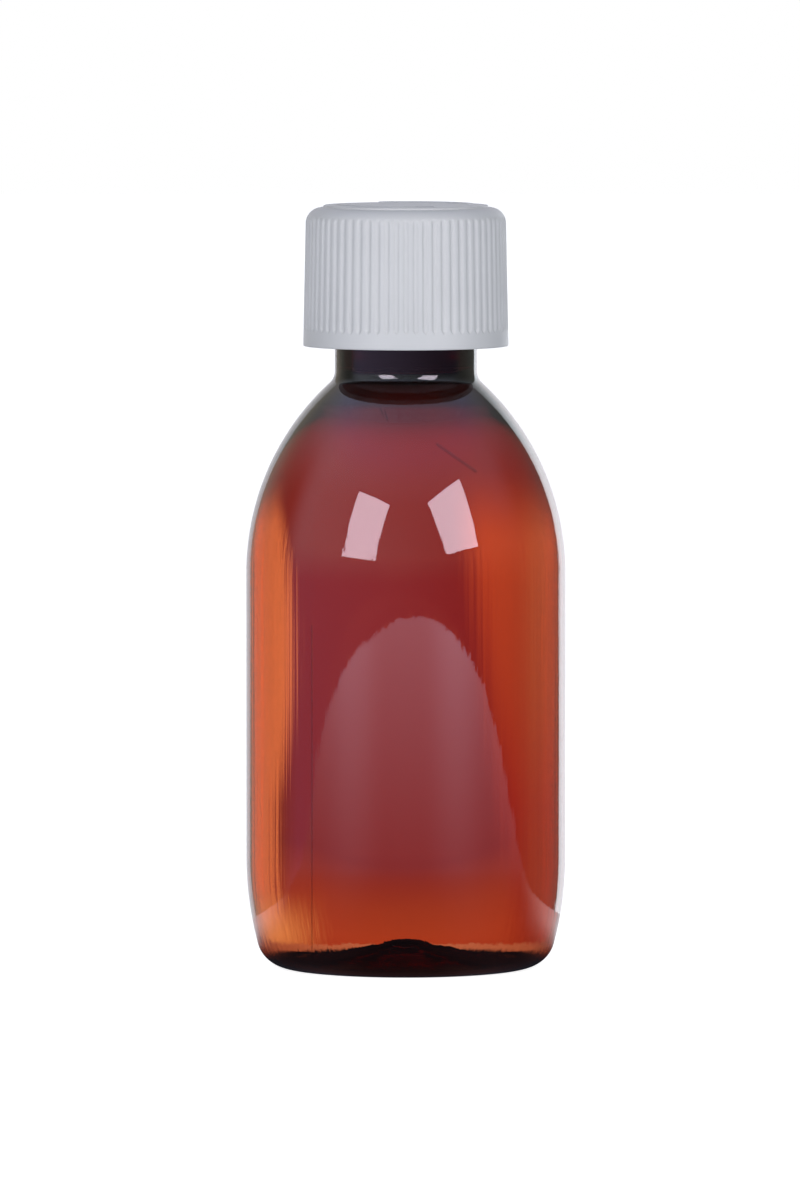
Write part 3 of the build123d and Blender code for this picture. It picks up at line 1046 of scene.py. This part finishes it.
def make_softboxes():
    """Two bright sheets in front, seen only as reflections."""
    for name, corners in softboxes.items():
        places = [studio_centre + direction(*corner) * softbox_distance for corner in corners]
        mesh = polygon(name, places)
        stage_object(name, mesh, glossy=True)
        material, tree, glow = emission_material(name)
        glow.inputs["Color"].default_value = softbox_colour
        path = tree.nodes.new("ShaderNodeLightPath")
        strength = times(tree, path.outputs["Is Singular Ray"], sharp_glow - rough_glow)
        tree.links.new(plus(tree, strength, rough_glow), glow.inputs["Strength"])
        mesh.materials.append(material)


def make_keys():
    """Two lamps where the softboxes stand, for the matt closure."""
    for name, azimuth in key_azimuths.items():
        light = bpy.data.lights.new(name, "AREA")
        light.shape = "RECTANGLE"
        light.size, light.size_y = key_size
        light.energy = key_power
        lamp = bpy.data.objects.new(name, light)
        lamp.location = studio_centre + direction(azimuth, key_elevation) * softbox_distance
        lamp.rotation_euler = (studio_centre - lamp.location).to_track_quat("-Z", "Y").to_euler()
        lamp.visible_glossy = False
        lamp.visible_transmission = False
        bpy.context.scene.collection.objects.link(lamp)


studio_centre = Vector((0, 0, 0.08))
softbox_distance = 0.9
softboxes = {  # azimuth and elevation of each corner, in degrees
    "softbox_left": [(-41, 34.2), (-13.3, 30.2), (-22.5, 5.5), (-46, 6.5)],
    "softbox_right": [(18, 31), (50.7, 38.3), (53.3, 10), (29, 8)],
}
sharp_glow = 9.0  # in the glass's sharp reflections
rough_glow = 3.0  # in the matt closure's blurred reflections
softbox_colour = (0.95, 0.86, 1.0, 1)
key_azimuths = {"key_left": -32, "key_right": 34}
key_elevation = 18
key_size = (0.5, 0.45)
key_power = 2.4
make_softboxes()
make_keys()


def make_shade_card():
    """Painted card close behind the bottle, seen through the amber: painted shade in rose where the
    bottle's own shadow falls, painted light towards both sides.
    """
    low_edge = [(-card_side, card_back, 0.0), (card_side, card_back, 0.0)]
    high_edge = [(card_side, card_back, card_top), (-card_side, card_back, card_top)]
    mesh = polygon("shade_card", low_edge + high_edge)
    stage_object("shade_card", mesh, transmission=True)
    material, tree, glow = emission_material("shade_rose")
    x, _, z, _ = coordinates(tree, "Object")

    rise = times(tree, times(tree, x, x), side_rise)
    lowered = minus(tree, z, math_node(tree, "MINIMUM", rise, side_rise_limit))
    colour = ramp_node(tree, times(tree, lowered, 1 / card_height), card_levels)
    from_middle = minus(tree, z, left_bow_height)
    bow = times(tree, times(tree, from_middle, from_middle), left_bow)
    bowed = plus(tree, x, math_node(tree, "MINIMUM", bow, left_bow_limit))
    left = times(tree, fade_node(tree, bowed, *left_side), fade_node(tree, z, *left_top))
    slant = plus(tree, x, times(tree, z, right_slant))
    right = times(tree, step_node(tree, slant, *right_side), fade_node(tree, z, *right_top))
    across = ramp_node(tree, times(tree, x, 1 / card_half_width), right_across)
    tint = ramp_node(tree, times(tree, z, 1 / card_height), right_upward)
    right_colour = vector_node(tree, "MULTIPLY", across, tint).outputs[0]
    left_colour = mix_node(tree, step_node(tree, x, *left_edge), left_edge_light, left_light)
    colour = mix_node(tree, left, colour, left_colour)
    foot = times(tree, fade_node(tree, x, *left_foot_side), fade_node(tree, z, *left_foot_top))
    colour = mix_node(tree, foot, colour, left_foot_light)
    colour = mix_node(tree, right, colour, right_colour)
    # painted shade: the card is nearly black to rays mirrored inside the glass
    colour = mix_node(tree, stray_light(tree, 0.5), colour, card_stray)
    tree.links.new(colour, glow.inputs["Color"])
    mesh.materials.append(material)


card_back = 0.036
card_side = 0.040
card_top = 0.150
card_height = 0.125  # colour stops are shares of these two
card_half_width = 1 / 33.0
card_stray = (0.006, 0.002, 0.003)
# painted light and shade by height: amber-lit near the table, the bottle's rose shadow up the body, dark
# shade behind the neck
card_levels = [
    (0.0, (0.74, 0.29, 0.17)),
    (0.055, (0.61, 0.22, 0.135)),
    (0.125, (0.385, 0.060, 0.070)),
    (0.75, (0.42, 0.064, 0.072)),
    (0.80, (0.44, 0.075, 0.088)),
    (0.832, (0.39, 0.072, 0.088)),
    (0.855, (0.26, 0.055, 0.070)),
    (0.875, (0.06, 0.03, 0.05)),
    (0.90, (0.02, 0.015, 0.03)),
]
side_rise = 12.0  # the rose colours rise towards both sides
side_rise_limit = 0.005
left_bow = 4.0  # the light's inner edge bends outwards above and below its middle
left_bow_height = 0.057
left_bow_limit = 0.0035
left_side = (-0.0243, -0.0205)  # where the left light starts to fade and where it is gone
left_top = (0.080, 0.092)
left_light = (1.42, 1.28, 0.96)
left_edge = (-0.0335, -0.0285)
left_edge_light = (2.60, 1.60, 0.80)
left_foot_side = (-0.031, -0.014)
left_foot_top = (0.002, 0.012)
left_foot_light = (1.8, 2.5, 1.8)
right_side = (0.0195, 0.0275)
right_slant = 0.14
right_top = (0.076, 0.094)
right_across = [
    (0.50, (0.995, 0.39, 0.175)),
    (0.75, (0.91, 0.43, 0.23)),
    (0.86, (1.00, 0.65, 0.42)),
    (0.95, (1.15, 0.87, 0.65)),
    (1.10, (1.60, 0.98, 0.62)),
]
right_upward = [
    (0.13, (0.64, 0.30, 0.15)),
    (0.22, (0.69, 0.32, 0.28)),
    (0.40, (0.80, 0.66, 0.53)),
    (0.55, (0.87, 0.80, 0.70)),
    (0.64, (1.0, 1.0, 1.0)),
]
make_shade_card()

# ---------- camera
camera_distance = 2.5
camera_height = 0.236
view_height = 0.2253
aim = Vector((-0.0011, 0, 0.0691))
camera_data = bpy.data.cameras.new("camera")
camera_data.sensor_fit = "VERTICAL"
camera_data.sensor_height = 36
camera_data.lens = 36 * math.hypot(camera_distance, camera_height - aim.z) / view_height
camera_data.clip_end = 20
camera = bpy.data.objects.new("camera", camera_data)
camera.location = (aim.x, -camera_distance, camera_height)
camera.rotation_euler = (aim - camera.location).to_track_quat("-Z", "Y").to_euler()
bpy.context.scene.collection.objects.link(camera)
bpy.context.scene.camera = camera

scene = bpy.context.scene
scene.view_settings.view_transform = "Standard"
scene.cycles.max_bounces = 24
scene.cycles.transmission_bounces = 24
scene.cycles.glossy_bounces = 12
